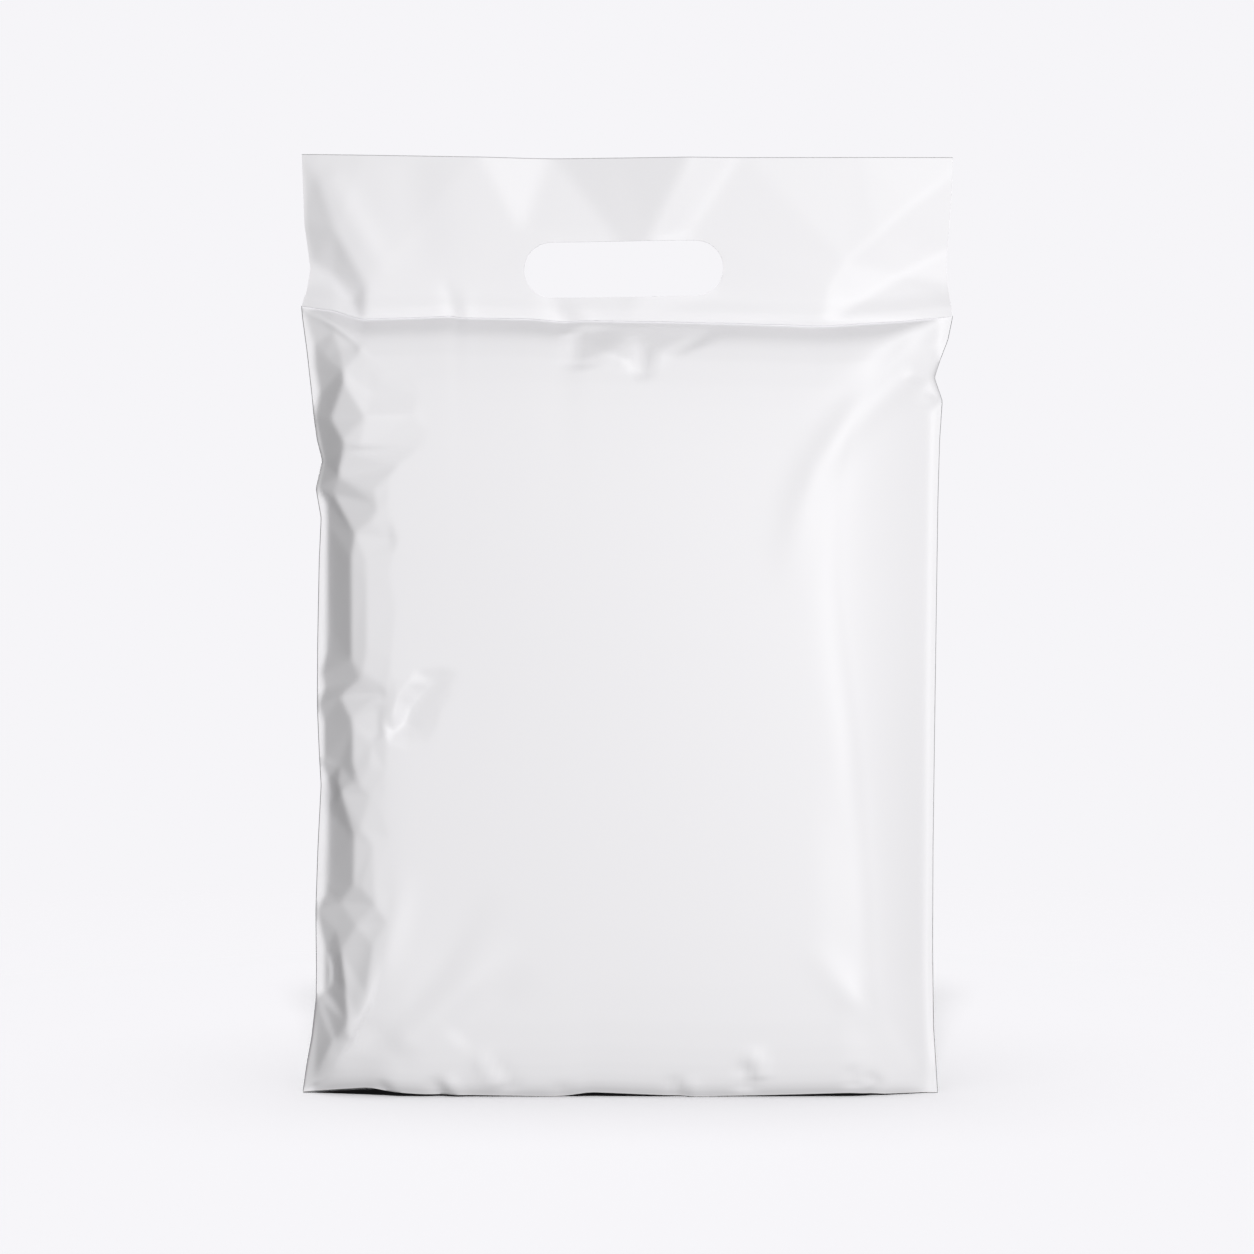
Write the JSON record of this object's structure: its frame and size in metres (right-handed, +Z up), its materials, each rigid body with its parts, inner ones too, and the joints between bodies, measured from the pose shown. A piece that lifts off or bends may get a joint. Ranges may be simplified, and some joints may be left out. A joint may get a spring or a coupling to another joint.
{
  "type": "poly mailer bag",
  "caption": "Sealed, filled film mailing bag standing on its flattened bottom fold, with side welds, a glued top flap and a die-cut carry slot.",
  "frame": {"origin": "on the floor, under the middle of the bag", "axes": "+Z up from the bottom fold to the top fold, +X across the bag's width, -Y towards the front, the side the flap is glued down on"},
  "size_m": [0.31, 0.047, 0.45],
  "materials": {
    "white_film": "satin opaque white polyethylene film"
  },
  "bodies": {
    "root": {"mailer_bag": "white_film"}
  },
  "joints": []
}
